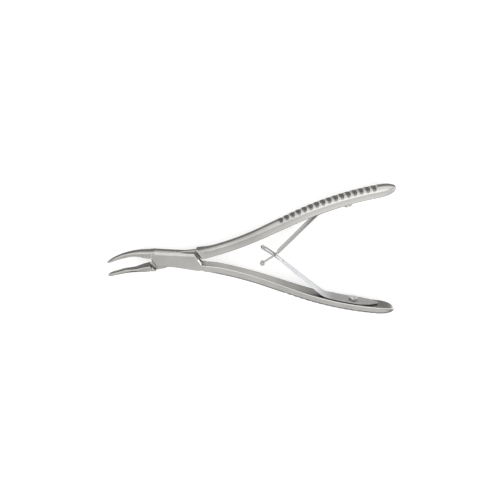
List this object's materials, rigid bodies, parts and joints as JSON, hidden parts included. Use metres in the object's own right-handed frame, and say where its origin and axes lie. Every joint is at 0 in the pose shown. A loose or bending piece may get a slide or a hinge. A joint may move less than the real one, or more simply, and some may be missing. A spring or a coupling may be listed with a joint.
{
  "type": "bone rongeur",
  "caption": "Box-lock bone rongeur with curved cupped jaws, grooved splayed handles and crossed leaf springs that hold it open.",
  "frame": {"origin": "on the joint's axis, on the flat underside of the lock", "axes": "+X towards the handles' ends, +Y towards the male half's handle, +Z along the joint pin, out of the face that the picture shows"},
  "size_m": [0.1391, 0.0671, 0.009],
  "materials": {
    "satin_steel": "satin, fine grained stainless steel",
    "spring_steel": "satin rolled strip",
    "screw_steel": "turned and lightly polished",
    "pin_steel": "ground flush with the lock"
  },
  "bodies": {
    "female": {"female_half": "satin_steel", "joint_pin": "pin_steel", "lower_spring_foot": "spring_steel", "lower_spring_screw": "screw_steel"},
    "male": {"male_half": "satin_steel", "upper_spring_foot": "spring_steel", "upper_spring_screw": "screw_steel"},
    "lower_leaf": {"lower_spring_leaf": "spring_steel"},
    "upper_leaf": {"upper_spring_leaf": "spring_steel"}
  },
  "joints": [
    {"name": "jaw_pivot", "type": "hinge", "parent": "female", "child": "male", "pos_m": [0, 0, 0.0029], "axis": [0, 0, 1], "range_deg": [-10.1, 0], "stiffness_Nm_per_rad": 1.5},
    {"name": "upper_spring_flex", "type": "hinge", "parent": "male", "child": "upper_leaf", "pos_m": [0.07031, 0.02038, 0.0029], "axis": [0, 0, 1], "range_deg": [-8, 0]},
    {"name": "lower_spring_flex", "type": "hinge", "parent": "female", "child": "lower_leaf", "pos_m": [0.07021, -0.02394, 0.0029], "axis": [0, 0, 1], "range_deg": [0, 8]}
  ],
  "couplings": [
    {"joint": "upper_spring_flex", "follows": "jaw_pivot", "ratio": 0.79},
    {"joint": "lower_spring_flex", "follows": "jaw_pivot", "ratio": -0.79}
  ]
}
